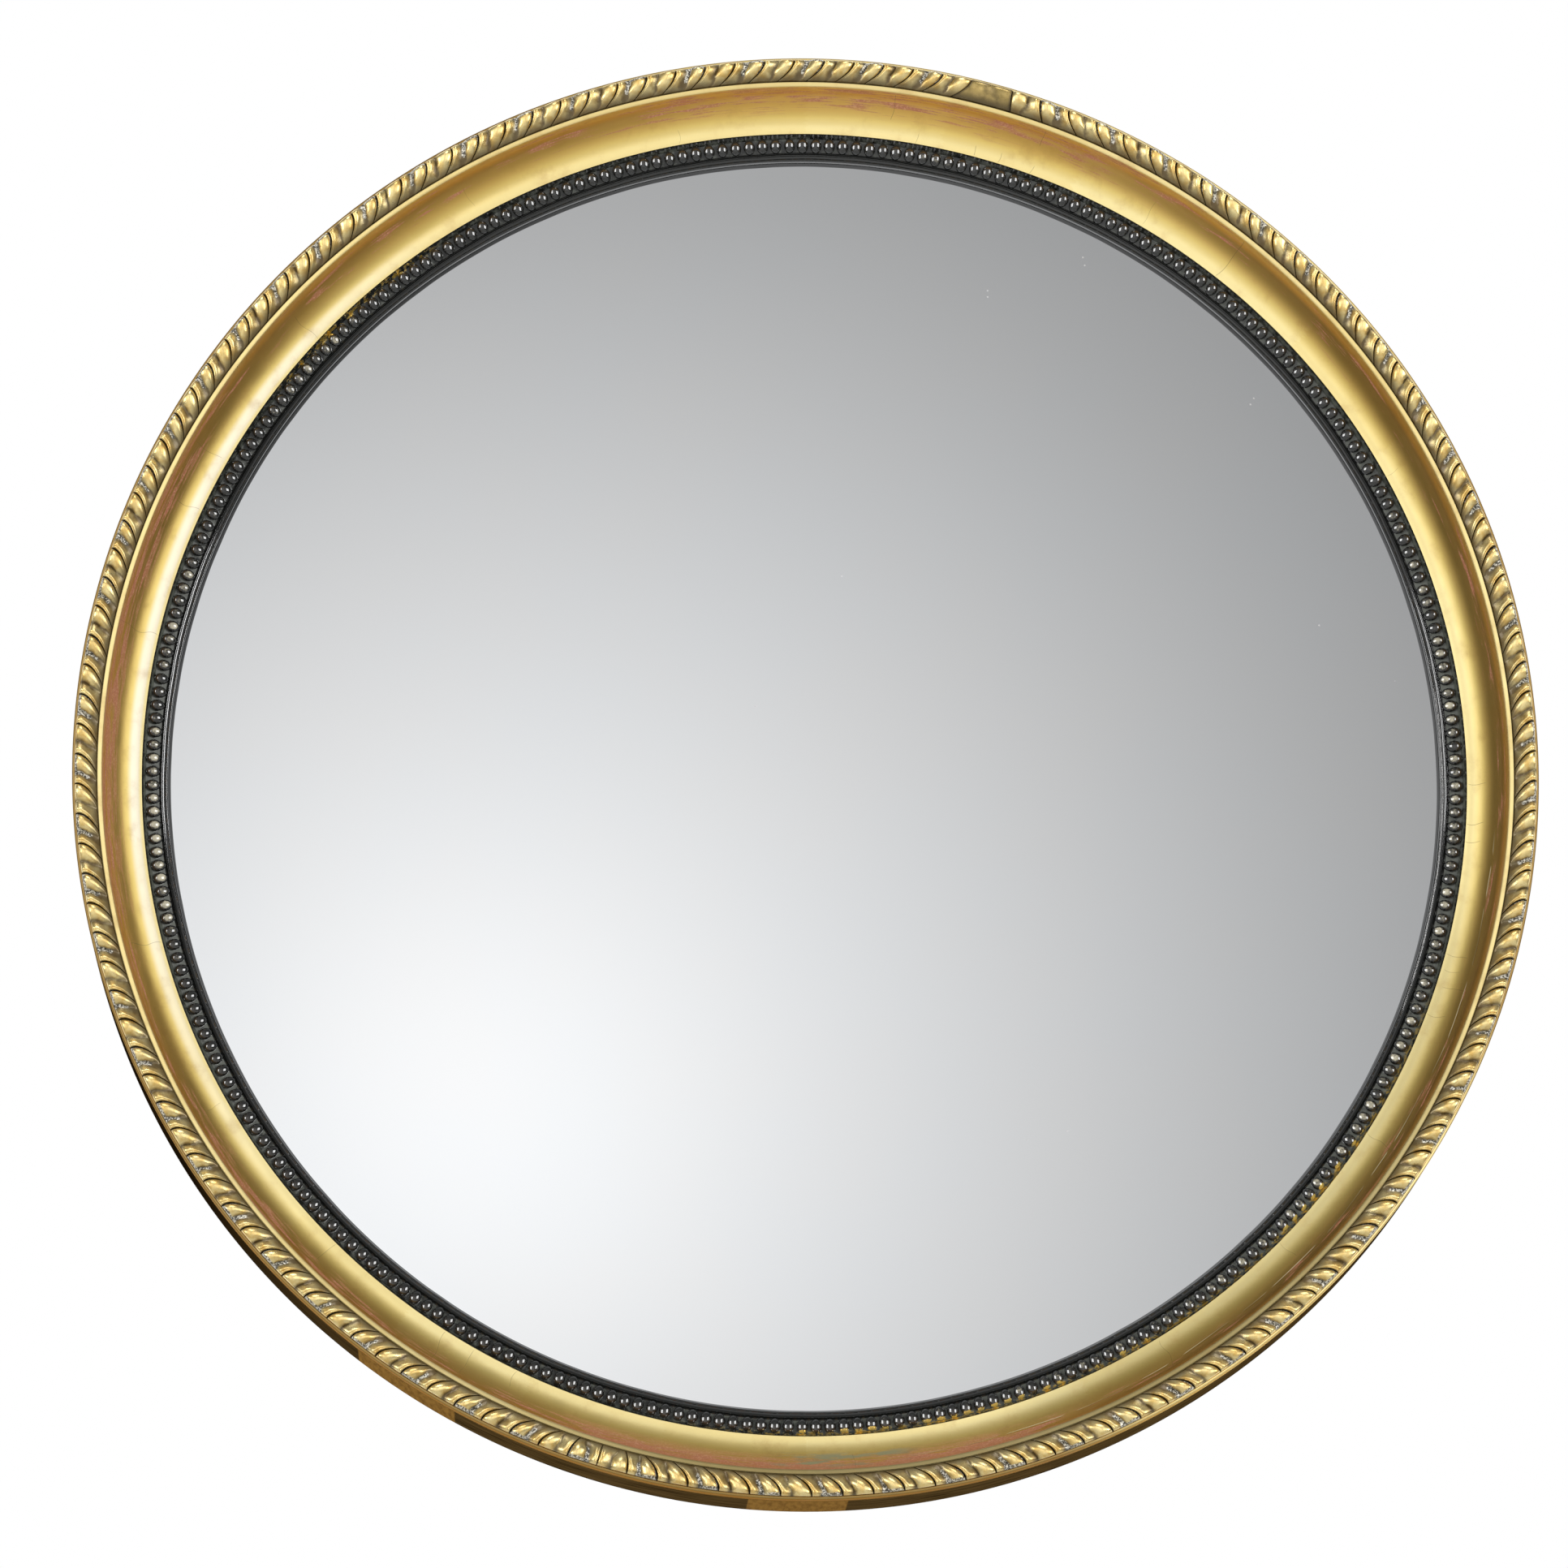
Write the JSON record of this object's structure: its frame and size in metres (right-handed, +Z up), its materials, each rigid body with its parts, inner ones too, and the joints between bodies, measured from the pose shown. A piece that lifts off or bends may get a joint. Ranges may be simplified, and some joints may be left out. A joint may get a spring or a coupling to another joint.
{
  "type": "convex wall mirror",
  "caption": "Round convex wall mirror in a giltwood frame: outer rope twist, wide hollow, ebonised beaded slip, bulging glass, backboard and swinging hanging rings.",
  "frame": {"origin": "middle of the backboard's rear face, in the plane of the frame's flat back", "axes": "+Y points out of the back, towards the wall; +Z up as the mirror hangs; +X to the right of someone who looks into the glass"},
  "size_m": [0.8504, 0.0762, 0.8504],
  "materials": {
    "giltwood": "water gilding over red-brown bole and gesso, toned and rubbed",
    "gilt_rope": "carved twist, gilded, with grey-brown toning in the grooves",
    "ebonised_slip": "ebonised, polished black, dusty in the hollows",
    "ebonised_beads": "ebonised gloss, rubbed to a pale buff on some beads",
    "convex_glass": "silvered convex glass with a few white specks",
    "stained_pine": "pine washed dark brown, with ochre patches on the side",
    "bare_pine": "aged bare pine",
    "iron_screws": "darkened iron",
    "hanger_brass": "tarnished brass"
  },
  "bodies": {
    "frame": {"front_felloe_1": "giltwood", "front_felloe_2": "giltwood", "front_felloe_3": "giltwood", "front_felloe_4": "giltwood", "front_felloe_5": "giltwood", "front_felloe_6": "giltwood", "back_felloe_1": "stained_pine", "back_felloe_2": "stained_pine", "back_felloe_3": "stained_pine", "back_felloe_4": "stained_pine", "back_felloe_5": "stained_pine", "back_felloe_6": "stained_pine", "rope_length_1": "gilt_rope", "rope_length_2": "gilt_rope", "rope_length_3": "gilt_rope", "rope_length_4": "gilt_rope", "rope_length_5": "gilt_rope", "rope_length_6": "gilt_rope", "rope_length_7": "gilt_rope", "rope_length_8": "gilt_rope", "rope_splice": "gilt_rope", "slip_section_1": "ebonised_slip", "slip_section_2": "ebonised_slip", "slip_section_3": "ebonised_slip", "slip_section_4": "ebonised_slip", "bead_run_1": "ebonised_beads", "bead_run_2": "ebonised_beads", "bead_run_3": "ebonised_beads", "bead_run_4": "ebonised_beads", "mirror_plate": "convex_glass", "packing_block_1": "bare_pine", "packing_block_2": "bare_pine", "packing_block_3": "bare_pine", "packing_block_4": "bare_pine", "packing_block_5": "bare_pine", "packing_block_6": "bare_pine", "packing_block_7": "bare_pine", "packing_block_8": "bare_pine", "backboard_left": "bare_pine", "backboard_middle": "bare_pine", "backboard_right": "bare_pine", "board_screw_1": "iron_screws", "board_screw_2": "iron_screws", "board_screw_3": "iron_screws", "board_screw_4": "iron_screws", "board_screw_5": "iron_screws", "board_screw_6": "iron_screws", "strap_left": "hanger_brass", "strap_right": "hanger_brass", "strap_screw_left_1": "hanger_brass", "strap_screw_left_2": "hanger_brass", "strap_screw_right_1": "hanger_brass", "strap_screw_right_2": "hanger_brass"},
    "ring_left": {"hanging_ring_left": "hanger_brass"},
    "ring_right": {"hanging_ring_right": "hanger_brass"}
  },
  "joints": [
    {"name": "ring_left_swing", "type": "hinge", "parent": "frame", "child": "ring_left", "pos_m": [-0.39463, 0.00405, 0.12574], "axis": [1, 0, 0], "range_deg": [0, 180]},
    {"name": "ring_right_swing", "type": "hinge", "parent": "frame", "child": "ring_right", "pos_m": [0.39463, 0.00405, 0.12574], "axis": [1, 0, 0], "range_deg": [0, 180]}
  ]
}
